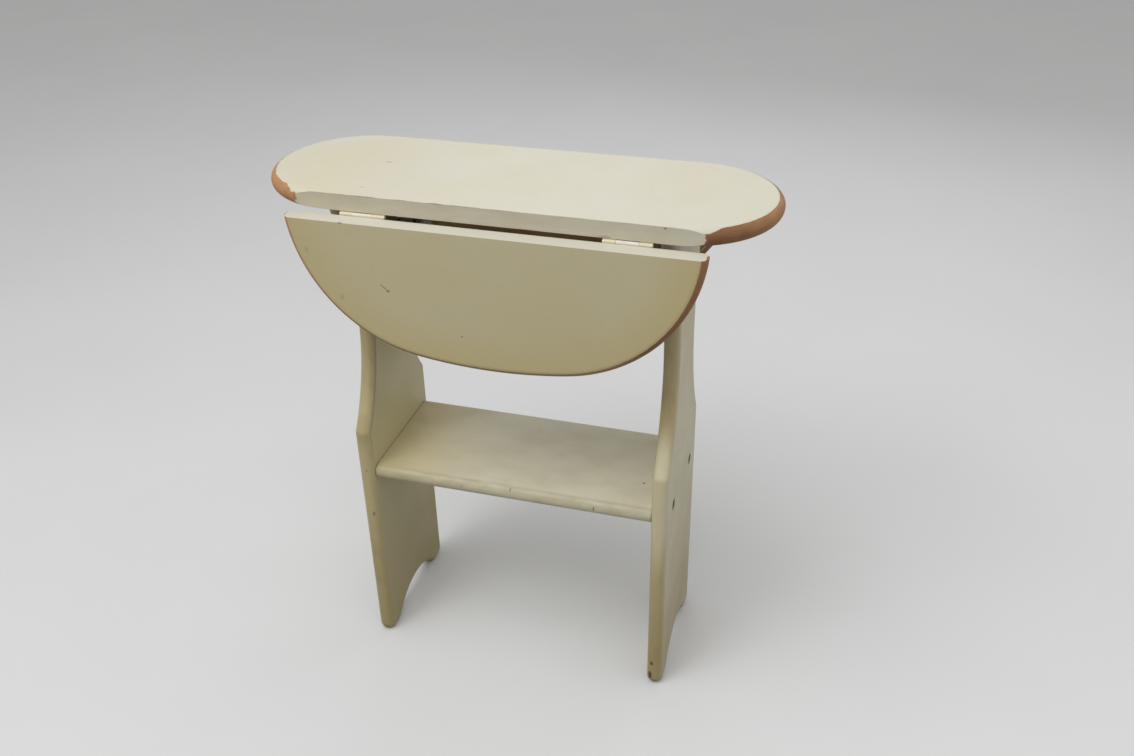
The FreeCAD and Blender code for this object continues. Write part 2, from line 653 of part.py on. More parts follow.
def make_stay_stud(leaf, turned):
    """The shouldered stud in the side panel that the stay's slot runs on."""
    thread = "dims.stud_screw_radius"
    collar = "dims.collar_radius"
    head = "dims.stud_head_radius"
    neck_end = "(dims.collar_length + dims.arm_thickness + 2 * dims.running_gap)"
    top = f"({neck_end} + dims.stud_head_height)"
    point = "-dims.stud_screw_length"
    profile = [("0", point), (thread, f"({point} + {thread})"), (thread, "0"), (collar, "0")]
    profile += [(collar, "dims.collar_length"), ("dims.stud_radius", "dims.collar_length")]
    profile += [("dims.stud_radius", neck_end), (head, neck_end), (head, top), ("0", top)]
    spot = (PANEL_FACE, f"-{STUD_Y}", STUD_Z)
    turned_piece(f"{leaf}_stay_stud", profile, spot, V(-1, 0, 0), turned)


def make_stay_arm(leaf, turned):
    """The stay's slotted arm, from its eye on the leaf past the stud on the panel."""
    body = new_piece(f"{leaf}_stay_arm")
    sketch = new_sketch(body, "YZ_Plane")
    half = "(dims.arm_width / 2)"
    stadium(sketch, "0", SLOT_FAR, f"-{half}", half)
    circle(sketch, "0", "0", "(dims.rivet_radius + dims.pivot_play)")
    # The slot ends in a shallow notch that the stud drops into when the leaf is up
    slot = "(dims.stud_radius + dims.slot_clearance)"
    notch = "dims.catch_depth"
    lip = f"({SLOT_FAR} - sqrt({slot}^2 - ({slot} - {notch})^2))"
    slot_end = f"({SLOT_FAR} + {slot})"
    corners = [(SLOT_NEAR, f"-{slot}"), (SLOT_FAR, f"-{slot}"), (slot_end, "0"), (slot_end, notch)]
    corners += [(lip, slot), (SLOT_NEAR, slot)]
    arcs = {1: ("anticlockwise", "x", SLOT_FAR), 3: ("anticlockwise", "x", SLOT_FAR)}
    arcs[5] = ("anticlockwise", "x", SLOT_NEAR)
    outline(sketch, corners, arcs)
    pad(body, sketch, "dims.arm_thickness", symmetric=True)
    slope = FreeCAD.Rotation(V(1, 0, 0), math.degrees(math.atan2(value(NEAR_RISE), value(NEAR_RUN))))
    spot = (f"({ARM_OUTER} - dims.arm_thickness / 2)", f"-{PIVOT_Y}", PIVOT_Z)
    place(body, spot, slope, turned)


def check_document():
    """Stop if any object failed, any sub-part is not sound, or a pocket cut nothing."""
    for item in doc.Objects:
        if "Invalid" in item.State or "Error" in item.State:
            raise RuntimeError(f"{item.Name} failed: {item.State}")
        if item.TypeId == "PartDesign::Pocket" and item.Shape.Volume >= item.BaseFeature.Shape.Volume:
            raise RuntimeError(f"{item.Name} cut nothing")
    for body in pieces:
        if body.Shape.isNull() or not body.Shape.isValid() or len(body.Shape.Solids) != 1:
            raise RuntimeError(f"{body.Label} is not one sound solid")


make_centre_board()
make_shelf()
for is_turned in (False, True):
    leaf_name = "rear" if is_turned else "front"
    end_name = "left" if is_turned else "right"
    make_side_panel(end_name, is_turned)
    make_shelf_screws(end_name, is_turned)
    make_cleat(end_name, is_turned)
    make_leaf(leaf_name, is_turned)
    for hinge_end in ("left", "right"):
        make_hinge(leaf_name, hinge_end, is_turned)
    make_stay_bracket(leaf_name, is_turned)
    make_stay_rivet(leaf_name, is_turned)
    make_stay_stud(leaf_name, is_turned)
    make_stay_arm(leaf_name, is_turned)

doc.recompute()
check_document()
os.makedirs("parts", exist_ok=True)
for body in pieces:
    body.Shape.exportStep(f"parts/{body.Label}.step")
print(f"{len(pieces)} sub-parts written")
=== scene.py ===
"""Looks of the drop-leaf side table: cream paint, stained edges, hinges, leaf stays and screws."""

import json
import math

import bpy
import numpy as np
from mathutils import Matrix, Vector

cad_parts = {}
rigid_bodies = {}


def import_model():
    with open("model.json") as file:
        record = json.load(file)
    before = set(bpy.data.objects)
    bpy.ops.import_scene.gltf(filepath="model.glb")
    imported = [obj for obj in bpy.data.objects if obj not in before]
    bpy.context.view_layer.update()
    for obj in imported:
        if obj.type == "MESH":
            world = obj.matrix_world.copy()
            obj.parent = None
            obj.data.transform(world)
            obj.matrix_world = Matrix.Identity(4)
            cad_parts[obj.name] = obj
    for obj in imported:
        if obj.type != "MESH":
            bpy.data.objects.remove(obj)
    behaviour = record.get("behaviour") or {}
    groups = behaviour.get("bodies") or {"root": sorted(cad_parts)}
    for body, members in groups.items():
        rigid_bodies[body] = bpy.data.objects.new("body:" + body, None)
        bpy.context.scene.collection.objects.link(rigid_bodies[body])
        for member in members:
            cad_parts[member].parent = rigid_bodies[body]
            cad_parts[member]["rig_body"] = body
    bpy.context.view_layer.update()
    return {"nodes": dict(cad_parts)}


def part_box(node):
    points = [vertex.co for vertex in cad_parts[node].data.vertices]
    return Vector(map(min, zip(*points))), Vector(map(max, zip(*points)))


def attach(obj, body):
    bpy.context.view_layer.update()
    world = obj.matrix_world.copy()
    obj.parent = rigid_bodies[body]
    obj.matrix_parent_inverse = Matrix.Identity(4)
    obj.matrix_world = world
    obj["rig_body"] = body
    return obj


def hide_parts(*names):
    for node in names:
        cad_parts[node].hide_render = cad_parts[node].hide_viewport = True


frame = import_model()
nodes = frame["nodes"]

MM = 0.001
PER_MM = 1 / MM


# Sizes of the painted boards in millimetres, most of them read from the frame

def box_mm(node):
    """Give a node's lowest and highest corner in millimetres."""
    low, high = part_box(node)
    return low * PER_MM, high * PER_MM


BOARD_LOW, BOARD_HIGH = box_mm("centre_board")
LEAF_LOW, LEAF_HIGH = box_mm("front_leaf")
SHELF_LOW, SHELF_HIGH = box_mm("shelf")
PANEL_LOW, PANEL_HIGH = box_mm("right_side_panel")
PANEL_MIDDLE = (PANEL_LOW.x + PANEL_HIGH.x) / 2

# The board's round ends are arcs that overhang the hinge lines
END_OVERHANG = 7
END_RADIUS = BOARD_HIGH.y + END_OVERHANG
END_CENTRE = BOARD_HIGH.x - END_RADIUS
JOINT_END = END_CENTRE + math.sqrt(END_RADIUS**2 - BOARD_HIGH.y**2)

# A leaf's bottom is a flat arc that turns into a tighter side arc at each shoulder. The side
# arc's centre lies on the shoulder's radius, equally far from the shoulder and from the leaf's
# upper corner, so both arcs share a tangent and the side arc ends at that corner.
LEAF_HALF = LEAF_HIGH.x
LEAF_DEPTH = LEAF_HIGH.z - LEAF_LOW.z
SHOULDER = 0.366 * LEAF_HALF
SHOULDER_DROP = 0.96 * LEAF_DEPTH
SHOULDER_SAG = LEAF_DEPTH - SHOULDER_DROP
BOTTOM_RADIUS = (SHOULDER**2 + SHOULDER_SAG**2) / (2 * SHOULDER_SAG)
BOTTOM_CENTRE_Z = LEAF_LOW.z + BOTTOM_RADIUS
BOTTOM_FALL = BOTTOM_RADIUS - SHOULDER_SAG
SIDE_RUN = LEAF_HALF - SHOULDER
SIDE_ACROSS = 2 * (BOTTOM_FALL * SHOULDER_DROP - SHOULDER * SIDE_RUN)
SIDE_CENTRE_X = SHOULDER * (1 - (SIDE_RUN**2 + SHOULDER_DROP**2) / SIDE_ACROSS)
SIDE_CENTRE_Z = BOTTOM_CENTRE_Z - SIDE_CENTRE_X / SHOULDER * BOTTOM_FALL
SIDE_RADIUS = math.hypot(LEAF_HALF - SIDE_CENTRE_X, LEAF_HIGH.z - SIDE_CENTRE_Z)
BOTTOM_CENTRE = (0, 0, BOTTOM_CENTRE_Z)
SIDE_CENTRE = (SIDE_CENTRE_X, 0, SIDE_CENTRE_Z)
# At right angles to the shoulder's radius, towards the side arc
TO_SIDE = (BOTTOM_FALL / BOTTOM_RADIUS, 0, SHOULDER / BOTTOM_RADIUS)


# Helpers for materials

def linear(hex_colour):
    """Turn an sRGB hex colour into linear red, green, blue and alpha."""
    parts = [int(hex_colour[start:start + 2], 16) / 255 for start in (1, 3, 5)]
    curve = [part / 12.92 if part <= 0.04045 else ((part + 0.055) / 1.055) ** 2.4 for part in parts]
    return (*curve, 1.0)


def add(tree, kind, inputs=None, take=0, **settings):
    """Add a shader node, set it, fill or link its inputs, and give one of its outputs."""
    node = tree.nodes.new(kind)
    for name, setting in settings.items():
        setattr(node, name, setting)
    for name, given in (inputs or {}).items():
        if isinstance(given, bpy.types.NodeSocket):
            tree.links.new(given, node.inputs[name])
        else:
            node.inputs[name].default_value = given
    return node.outputs[take]


def new_material(name, **surface):
    """Start a material. Gives it, its node tree, its shader and the place in millimetres."""
    material = bpy.data.materials.new(name)
    material.use_nodes = True
    tree = material.node_tree
    shader = tree.nodes["Principled BSDF"]
    for socket, setting in surface.items():
        shader.inputs[socket.replace("_", " ")].default_value = setting
    place = add(tree, "ShaderNodeTexCoord", take="Object")
    place = add(tree, "ShaderNodeVectorMath", {0: place, "Scale": PER_MM}, operation="SCALE")
    return material, tree, shader, place


def cloud(tree, place, size, detail=3.0, stretch=(1, 1, 1)):
    """Give noise between 0 and 1 with features of a real size in mm, drawn out by stretch."""
    scale = tuple(1 / (size * factor) for factor in stretch)
    place = add(tree, "ShaderNodeVectorMath", {0: place, 1: scale}, operation="MULTIPLY")
    return add(tree, "ShaderNodeTexNoise", {"Vector": place, "Scale": 1.0, "Detail": detail})


def passing(tree, distance, limit, blur):
    """Give 0 below a limit and 1 above it, with a soft step."""
    inputs = {"Value": distance, "From Min": limit - blur, "From Max": limit + blur}
    return add(tree, "ShaderNodeMapRange", inputs, interpolation_type="SMOOTHSTEP")


def patches(tree, place, size, detail, limit, blur, stretch=(1, 1, 1)):
    """Give soft-edged patches: 1 where a cloud passes a limit."""
    return passing(tree, cloud(tree, place, size, detail, stretch), limit, blur)


# Sockets of the mix node that hold colours
MIX_SHARE, MIX_FIRST, MIX_SECOND, MIX_RESULT = 0, 6, 7, 2


def blend(tree, share, first, second, strength=1.0):
    """Mix two colours, each a hex value or a socket, by a share times a strength."""
    if strength != 1.0:
        share = add(tree, "ShaderNodeMath", {0: share, 1: strength}, operation="MULTIPLY")
    first, second = (linear(tone) if isinstance(tone, str) else tone for tone in (first, second))
    inputs = {MIX_SHARE: share, MIX_FIRST: first, MIX_SECOND: second}
    return add(tree, "ShaderNodeMix", inputs, take=MIX_RESULT, data_type="RGBA")


# A scratch wanders in waves of this size in mm. The rest are multiples of its width: how far it
# wanders, to where it is full and where it has faded.
SCRATCH_WAVE = 1.4
SCRATCH_WANDER, SCRATCH_FULL, SCRATCH_FADED = 1.6, 0.9, 1.9


def scratch(tree, place, start, end, width):
    """Give 1 along a straight scratch between two places, fading over its width in mm.

    The foot is the nearest place on the line: the start, plus the line's run times the share
    that the way from the start has along it, kept between 0 and 1.
    """
    run = tuple(last - first for first, last in zip(start, end))
    share = 1 / sum(part * part for part in run)
    away = add(tree, "ShaderNodeVectorMath", {0: place, 1: start}, operation="SUBTRACT")
    inputs = {0: away, 1: run}
    along = add(tree, "ShaderNodeVectorMath", inputs, take="Value", operation="DOT_PRODUCT")
    along = add(tree, "ShaderNodeMath", {0: along, 1: share}, operation="MULTIPLY", use_clamp=True)
    foot = add(tree, "ShaderNodeVectorMath", {0: run, "Scale": along}, operation="SCALE")
    inputs = {0: away, 1: foot}
    beside = add(tree, "ShaderNodeVectorMath", inputs, take="Value", operation="DISTANCE")
    ragged = cloud(tree, place, SCRATCH_WAVE)
    inputs = {0: ragged, 1: SCRATCH_WANDER * width, 2: beside}
    beside = add(tree, "ShaderNodeMath", inputs, operation="MULTIPLY_ADD")
    inputs = {"Value": beside, "From Min": SCRATCH_FADED * width, "From Max": SCRATCH_FULL * width}
    return add(tree, "ShaderNodeMapRange", inputs, interpolation_type="SMOOTHSTEP")


# A spot's outline has this many waves in a mm, and wanders over this many mm. The rest are
# multiples of its radii: to where it is full and where it has faded.
SPOT_WAVES = 0.9
SPOT_WANDER = 1.6
SPOT_FULL, SPOT_FADED = 0.6, 1.25


def marks(tree, place, spots):
    """Give the strongest of several soft spots, each a centre, radii in mm and a strength.

    How far a place is from a spot is its way from the centre, divided by the radii, as a length.
    """
    inputs = {"Vector": place, "Scale": SPOT_WAVES, "Detail": 3.0}
    ragged = add(tree, "ShaderNodeTexNoise", inputs, take="Color")
    inputs = {0: ragged, 1: (0.5, 0.5, 0.5)}
    ragged = add(tree, "ShaderNodeVectorMath", inputs, operation="SUBTRACT")
    inputs = {0: ragged, 1: (SPOT_WANDER, SPOT_WANDER, SPOT_WANDER), 2: place}
    place = add(tree, "ShaderNodeVectorMath", inputs, operation="MULTIPLY_ADD")
    strongest = 0.0
    for centre, radii, strength in spots:
        away = add(tree, "ShaderNodeVectorMath", {0: place, 1: centre}, operation="SUBTRACT")
        away = add(tree, "ShaderNodeVectorMath", {0: away, 1: radii}, operation="DIVIDE")
        away = add(tree, "ShaderNodeVectorMath", {0: away}, take="Value", operation="LENGTH")
        inputs = {"Value": away, "From Min": SPOT_FADED, "From Max": SPOT_FULL, "To Max": strength}
        spot = add(tree, "ShaderNodeMapRange", inputs, interpolation_type="SMOOTHSTEP")
        strongest = add(tree, "ShaderNodeMath", {0: strongest, 1: spot}, operation="MAXIMUM")
    return strongest


# Cream paint: brushed satin enamel over fibreboard. It gives soft broad highlights, faint brush
# lines and a slow drift of colour where it has yellowed.

CREAM = "#D4D1C1"
CREAM_YELLOWED = "#D3C8A2"
CREAM_AGED = "#CCC39F"
CREAM_GRIMY = "#A99A78"
BARE_BOARD = "#5A3C25"
STAIN_DARK = "#744A2B"
STAIN_LIGHT = "#B8885C"
BASE_COAT = "#A0844C"
BASE_COAT_THIN = "#75592F"

ENAMEL_IOR = 1.5
ENAMEL_SHINIEST, ENAMEL_DULLEST = 0.36, 0.52
# Bristle marks are about 0.3 mm apart, drawn at 0.9 mm so that they show, and run along one axis
BRISTLE_GAP = 0.9
BRUSHED_X, BRUSHED_Y, BRUSHED_Z = (60, 1, 1), (1, 60, 1), (1, 1, 60)
# The relief's depth in mm, and the heights of sags and of worn places as multiples of the
# bristle marks' height
PAINT_RELIEF = 0.06
SAG_SHARE, WEAR_SHARE = 1.5, -2.0


def finish_enamel(tree, shader, place, colour, brushed, wear=0.0):
    """Give the enamel its colour, brush lines and an uneven sheen, rougher where it is worn."""
    tree.links.new(colour, shader.inputs["Base Color"])
    height = cloud(tree, place, size=BRISTLE_GAP, detail=2.0, stretch=brushed)
    sag = cloud(tree, place, size=9, detail=2.0)
    for layer, share in ((sag, SAG_SHARE), (wear, WEAR_SHARE)):
        inputs = {0: layer, 1: share, 2: height}
        height = add(tree, "ShaderNodeMath", inputs, operation="MULTIPLY_ADD")
    inputs = {"Height": height, "Strength": 0.35, "Distance": PAINT_RELIEF * MM}
    tree.links.new(add(tree, "ShaderNodeBump", inputs, take="Normal"), shader.inputs["Normal"])
    dull = cloud(tree, place, size=45, detail=4.0)
    inputs = {"Value": dull, "From Min": 0.3, "From Max": 0.7,
              "To Min": ENAMEL_SHINIEST, "To Max": ENAMEL_DULLEST}
    rough = add(tree, "ShaderNodeMapRange", inputs)
    rough = add(tree, "ShaderNodeMath", {0: wear, 1: 0.2, 2: rough}, operation="MULTIPLY_ADD")
    tree.links.new(rough, shader.inputs["Roughness"])


def cream_colour(tree, place, fresh=CREAM, aged=CREAM_YELLOWED, darkening=0.05):
    """Cream that drifts to a yellowed tone in wide clouds, with fine grime specks."""
    drift = patches(tree, place, size=150, detail=2.0, limit=0.52, blur=0.2)
    colour = blend(tree, drift, fresh, aged, strength=0.4)
    specks = patches(tree, place, size=6, detail=5.0, limit=0.6, blur=0.12)
    return blend(tree, specks, colour, CREAM_GRIMY, strength=darkening)


def stain_colour(tree, place, painted_light):
    """Brown stained edge with fine streaks, lighter on the left and where painted light falls on it.
    """
    streaks = cloud(tree, place, size=2.2, detail=4.0, stretch=(5, 5, 1))
    wide = cloud(tree, place, size=24)
    light = add(tree, "ShaderNodeMath", {0: streaks, 1: wide}, operation="MULTIPLY")
    across = add(tree, "ShaderNodeSeparateXYZ", {0: place}, take="X")
    inputs = {"Value": across, "From Min": -150, "From Max": -270, "To Max": 0.85}
    left = add(tree, "ShaderNodeMapRange", inputs)
    light = add(tree, "ShaderNodeMath", {0: light, 1: left}, operation="ADD")
    light = add(tree, "ShaderNodeMath", {0: light, 1: painted_light}, operation="ADD", use_clamp=True)
    return blend(tree, light, STAIN_DARK, STAIN_LIGHT)


def base_coat(tree, place):
    """The brown base coat, left bare on faces that no one sees, with thin and thick patches."""
    thin = patches(tree, place, size=18, detail=5.0, limit=0.5, blur=0.25, stretch=(3, 1, 1))
    return blend(tree, thin, BASE_COAT, BASE_COAT_THIN)


# In mm from the joint's plane: nearer than the first is the joint's face, past the second isn't
JOINT_NEAR, JOINT_FAR = 0.05, 0.15


def off_joint(tree, along, plane):
    """Give 1 short of the joint's plane and 0 on it, since the joint's faces stay cream."""
    inputs = {"Value": along, "From Min": plane - JOINT_NEAR, "From Max": plane - JOINT_FAR}
    return add(tree, "ShaderNodeMapRange", inputs)


# The centre board. Its stained band reaches this far in from the outline in millimetres: on
# top, next to the joint, where it narrows over a run, and on the lower half of the edge.

BOARD_STAIN = 6.5
JOINT_STAIN = 1.8
STAIN_RUN = 16
LOWER_STAIN = 9.6
# How far the band's inner line wanders in all, at the right end and at the left, and how far
# its end on the joint's faces does
RIGHT_WANDER, LEFT_WANDER = 1.6, 4.8
BOARD_BLEED = 14
EDGE_DIRT = "#6E5838"
BOARD_FACE = BOARD_LOW.y
BOARD_SPOTS = [
    ((-156, 9, BOARD_HIGH.z), (4, 2.5, 3), 0.24), ((-153, -68, BOARD_HIGH.z), (2.5, 2, 3), 0.2),
    ((181, BOARD_FACE, 622), (1.5, 2, 1.1), 0.7), ((-60, BOARD_FACE, 623.6), (9, 1.5, 0.8), 0.3),
    ((40, BOARD_FACE, 605.5), (14, 1.5, 0.8), 0.3), ((120, BOARD_FACE, 606.5), (7, 1.5, 1.6), 0.3),
]


def board_stain(tree, place, axes, along, beside):
    """Give the stained share of the board, and the share that isn't a clean joint face.

    The band is where the distance from the round end's centre, plus the band's reach, passes the
    end's radius.
    """
    past = add(tree, "ShaderNodeMath", {0: along, 1: END_CENTRE}, operation="SUBTRACT")
    past = add(tree, "ShaderNodeMath", {0: past, 1: 0.0}, operation="MAXIMUM")
    spoke = add(tree, "ShaderNodeCombineXYZ", {"X": past, "Y": beside})
    radius = add(tree, "ShaderNodeVectorMath", {0: spoke}, take="Value", operation="LENGTH")
    ragged = cloud(tree, place, size=8, detail=2.0)
    ragged = add(tree, "ShaderNodeMath", {0: ragged, 1: 0.5}, operation="SUBTRACT")
    inputs = {"Value": axes["X"], "From Min": -190, "From Max": -230,
              "To Min": RIGHT_WANDER, "To Max": LEFT_WANDER}
    wander = add(tree, "ShaderNodeMapRange", inputs)
    inputs = {0: ragged, 1: wander, 2: radius}
    radius = add(tree, "ShaderNodeMath", inputs, operation="MULTIPLY_ADD")
    inputs = {"Value": beside, "From Min": BOARD_HIGH.y, "From Max": BOARD_HIGH.y - STAIN_RUN,
              "To Min": JOINT_STAIN, "To Max": BOARD_STAIN}
    reach = add(tree, "ShaderNodeMapRange", inputs, interpolation_type="SMOOTHSTEP")
    middle = (BOARD_LOW.z + BOARD_HIGH.z) / 2
    inputs = {"Value": axes["Z"], "From Min": middle - 2, "From Max": middle + 2,
              "To Min": LOWER_STAIN, "To Max": reach}
    reach = add(tree, "ShaderNodeMapRange", inputs)
    radius = add(tree, "ShaderNodeMath", {0: radius, 1: reach}, operation="ADD")
    stained = passing(tree, radius, limit=END_RADIUS, blur=0.25)
    # It bleeds unevenly over the last few millimetres of the joint's faces
    inputs = {0: ragged, 1: BOARD_BLEED, 2: along}
    bled = add(tree, "ShaderNodeMath", inputs, operation="MULTIPLY_ADD")
    bled = passing(tree, bled, limit=JOINT_END - 2, blur=0.4)
    free = off_joint(tree, beside, BOARD_HIGH.y)
    free = add(tree, "ShaderNodeMath", {0: free, 1: bled}, operation="MAXIMUM")
    stained = add(tree, "ShaderNodeMath", {0: stained, 1: free}, operation="MULTIPLY")
    return stained, free


def board_paint():
    """Cream enamel on the centre board, with the stained band round both ends."""
    material, tree, shader, place = new_material("cream_enamel_centre_board", IOR=ENAMEL_IOR)
    axes = add(tree, "ShaderNodeSeparateXYZ", {0: place}).node.outputs
    along = add(tree, "ShaderNodeMath", {0: axes["X"]}, operation="ABSOLUTE")
    beside = add(tree, "ShaderNodeMath", {0: axes["Y"]}, operation="ABSOLUTE")
    stained, free = board_stain(tree, place, axes, along, beside)
    # Hands and dust have dulled the joint's faces in long smears
    smears = patches(tree, place, size=14, detail=3.0, limit=0.5, blur=0.22, stretch=(4, 1, 1))
    dulled_and_shaded = add(tree, "ShaderNodeMath", {0: smears, 1: 0.25, 2: 0.12}, operation="MULTIPLY_ADD")
    on_joint = add(tree, "ShaderNodeMath", {0: 1.0, 1: free}, operation="SUBTRACT")
    dulled_and_shaded = add(tree, "ShaderNodeMath", {0: dulled_and_shaded, 1: on_joint}, operation="MULTIPLY")
    colour = blend(tree, dulled_and_shaded, cream_colour(tree, place), CREAM_GRIMY)
    # Dirt has darkened parts of the sharp edge where the top meets the joint's faces
    dirt = passing(tree, axes["Z"], limit=BOARD_HIGH.z - 0.8, blur=0.2)
    near = passing(tree, beside, limit=BOARD_HIGH.y - 0.8, blur=0.2)
    broken = patches(tree, place, size=9, detail=4.0, limit=0.5, blur=0.12, stretch=(3, 1, 1))
    inputs = {"Value": axes["X"], "From Min": -60, "From Max": 60, "To Min": 0.6, "To Max": 0.2}
    by_left = add(tree, "ShaderNodeMapRange", inputs)
    for share in (near, broken, by_left):
        dirt = add(tree, "ShaderNodeMath", {0: dirt, 1: share}, operation="MULTIPLY")
    colour = blend(tree, dirt, colour, EDGE_DIRT)
    above = passing(tree, axes["Z"], limit=BOARD_LOW.z + 0.2, blur=0.15)
    colour = blend(tree, above, base_coat(tree, place), colour)
    worn = marks(tree, place, BOARD_SPOTS)
    colour = blend(tree, worn, colour, BARE_BOARD)
    # Painted light: the band is lighter at the right tip, as a reflection of a bright wall
    inputs = {"Value": axes["X"], "From Min": 255, "From Max": 284, "To Max": 0.5}
    painted_light = add(tree, "ShaderNodeMapRange", inputs)
    colour = blend(tree, stained, colour, stain_colour(tree, place, painted_light))
    wear = add(tree, "ShaderNodeMath", {0: stained, 1: worn}, operation="MAXIMUM")
    finish_enamel(tree, shader, place, colour, BRUSHED_X, wear)
    return material


# The leaves. Their stained edge reaches this far in from the outline, and wanders over this
# much there and on the joint's face, in millimetres.

LEAF_STAIN = 6.2
LEAF_WANDER = 1.5
LEAF_BLEED = 7.5
LEAF_EDGE_CREAM = "#CABB8B"
LEAF_YELLOWED = "#C8BA90"
LEAF_FACE = LEAF_LOW.y
LEAF_INNER_FACE = -LEAF_HIGH.y
LEAF_SPOTS = [
    ((-112.5, LEAF_FACE, 528), (2.2, 2, 1.4), 0.6), ((-160, LEAF_FACE, 601.6), (2.6, 2.5, 1.2), 0.5),
    ((-31.4, LEAF_FACE, 483.7), (1.3, 2, 1.1), 0.55), ((-203, LEAF_FACE, 566), (2, 2, 5), 0.16),
    ((-168, LEAF_FACE, 514), (3, 2, 4), 0.16),
]
SCRATCH_START, SCRATCH_END = (-120, LEAF_FACE, 534.5), (-112.5, LEAF_FACE, 528)


def way_in(tree, across, up):
    """Give how far in from a leaf's outline a place lies, in millimetres.

    It is an arc's radius less the distance to its centre. The shoulder's radius parts the bottom
    arc's share of the leaf from the side arc's.
    """
    spot = add(tree, "ShaderNodeCombineXYZ", {"X": across, "Z": up})
    ways = []
    for centre, radius in ((BOTTOM_CENTRE, BOTTOM_RADIUS), (SIDE_CENTRE, SIDE_RADIUS)):
        inputs = {0: spot, 1: centre}
        away = add(tree, "ShaderNodeVectorMath", inputs, take="Value", operation="DISTANCE")
        ways.append(add(tree, "ShaderNodeMath", {0: radius, 1: away}, operation="SUBTRACT"))
    from_bottom, from_side = ways
    beside = add(tree, "ShaderNodeVectorMath", {0: spot, 1: SIDE_CENTRE}, operation="SUBTRACT")
    inputs = {0: beside, 1: TO_SIDE}
    beside = add(tree, "ShaderNodeVectorMath", inputs, take="Value", operation="DOT_PRODUCT")
    by_side = add(tree, "ShaderNodeMath", {0: beside, 1: 0.0}, operation="GREATER_THAN")
    step = add(tree, "ShaderNodeMath", {0: from_side, 1: from_bottom}, operation="SUBTRACT")
    inputs = {0: by_side, 1: step, 2: from_bottom}
    return add(tree, "ShaderNodeMath", inputs, operation="MULTIPLY_ADD")


def leaf_stain(tree, place, axes, across, inside):
    """Give the stained share of a leaf, thinner along its bottom, and the share off its joint."""
    noise = cloud(tree, place, size=6)
    inputs = {0: noise, 1: LEAF_WANDER, 2: inside}
    ragged = add(tree, "ShaderNodeMath", inputs, operation="MULTIPLY_ADD")
    clear = passing(tree, ragged, limit=LEAF_STAIN + LEAF_WANDER / 2, blur=0.25)
    stained = add(tree, "ShaderNodeMath", {0: 1.0, 1: clear}, operation="SUBTRACT")
    # It bleeds unevenly over the last few millimetres of the joint's face
    inputs = {0: noise, 1: LEAF_BLEED, 2: across}
    bled = add(tree, "ShaderNodeMath", inputs, operation="MULTIPLY_ADD")
    bled = passing(tree, bled, limit=LEAF_HALF + 1.5, blur=0.4)
    cleared = off_joint(tree, axes["Z"], LEAF_HIGH.z)
    free = add(tree, "ShaderNodeMath", {0: cleared, 1: bled}, operation="MAXIMUM")
    inputs = {"Value": axes["Z"], "From Min": LEAF_LOW.z + 10, "From Max": LEAF_LOW.z + 60,
              "To Min": 0.72}
    full = add(tree, "ShaderNodeMapRange", inputs)
    for share in (free, full):
        stained = add(tree, "ShaderNodeMath", {0: stained, 1: share}, operation="MULTIPLY")
    return stained, cleared


def leaf_paint():
    """Cream enamel on a leaf: greyer in the middle, yellower by the stained edge."""
    material, tree, shader, place = new_material("cream_enamel_leaf", IOR=ENAMEL_IOR)
    axes = add(tree, "ShaderNodeSeparateXYZ", {0: place}).node.outputs
    across = add(tree, "ShaderNodeMath", {0: axes["X"]}, operation="ABSOLUTE")
    inside = way_in(tree, across, axes["Z"])
    stained, cleared = leaf_stain(tree, place, axes, across, inside)
    inputs = {"Value": inside, "From Min": 5, "From Max": 60}
    middle = add(tree, "ShaderNodeMapRange", inputs, interpolation_type="SMOOTHSTEP")
    colour = blend(tree, middle, LEAF_EDGE_CREAM, CREAM_AGED)
    colour = cream_colour(tree, place, colour, LEAF_YELLOWED)
    away = add(tree, "ShaderNodeMath", {0: axes["Y"]}, operation="ABSOLUTE")
    outer = passing(tree, away, limit=LEAF_INNER_FACE + 0.2, blur=0.15)
    colour = blend(tree, outer, base_coat(tree, place), colour)
    colour = blend(tree, cleared, CREAM, colour)
    line = scratch(tree, place, SCRATCH_START, SCRATCH_END, width=1.1)
    line = add(tree, "ShaderNodeMath", {0: line, 1: 0.5}, operation="MULTIPLY")
    worn = marks(tree, place, LEAF_SPOTS)
    worn = add(tree, "ShaderNodeMath", {0: worn, 1: line}, operation="MAXIMUM")
    colour = blend(tree, worn, colour, BARE_BOARD)
    # Painted light: the band is lighter towards the top, where more light falls on it from the side
    inputs = {"Value": axes["Z"], "From Min": 500, "From Max": 600, "To Max": 0.3}
    painted_light = add(tree, "ShaderNodeMapRange", inputs)
    colour = blend(tree, stained, colour, stain_colour(tree, place, painted_light))
    wear = add(tree, "ShaderNodeMath", {0: stained, 1: worn}, operation="MAXIMUM")
    finish_enamel(tree, shader, place, colour, BRUSHED_X, wear)
    return material


# The side panels, with the rounded rim at their front and rear

PANEL_INNER_CREAM, PANEL_OUTER_CREAM = "#CFC69D", "#CFC7A8"
RIM_CREAM, RIM_YELLOWED = "#C0B284", "#B5A16E"
# The rim's rubbed tone, its painted highlight and its painted light
RIM_RUBBED, RIM_HIGHLIGHT, RIM_LIT = "#96703F", "#DDD6B6", "#E2DFD0"
RIM_LINE_DIRT_AND_SHADE = "#86683A"
LOW_SHADE = "#9A8858"
PANEL_FRONT = -PANEL_HIGH.y
PANEL_SPOTS = [
    ((179.6, PANEL_FRONT, 34.6), (2.2, 3, 3.5), 0.9), ((177.5, PANEL_FRONT, 14), (3, 3, 7), 0.95),
    ((183, PANEL_FRONT, 3), (6, 5, 3), 0.8), ((-178.7, PANEL_FRONT, 196), (1.6, 3, 3.5), 0.6),
    ((-181, PANEL_FRONT, 262), (1.2, 3, 2), 0.5), ((-184, PANEL_FRONT, 6), (5, 4, 3), 0.5),
]
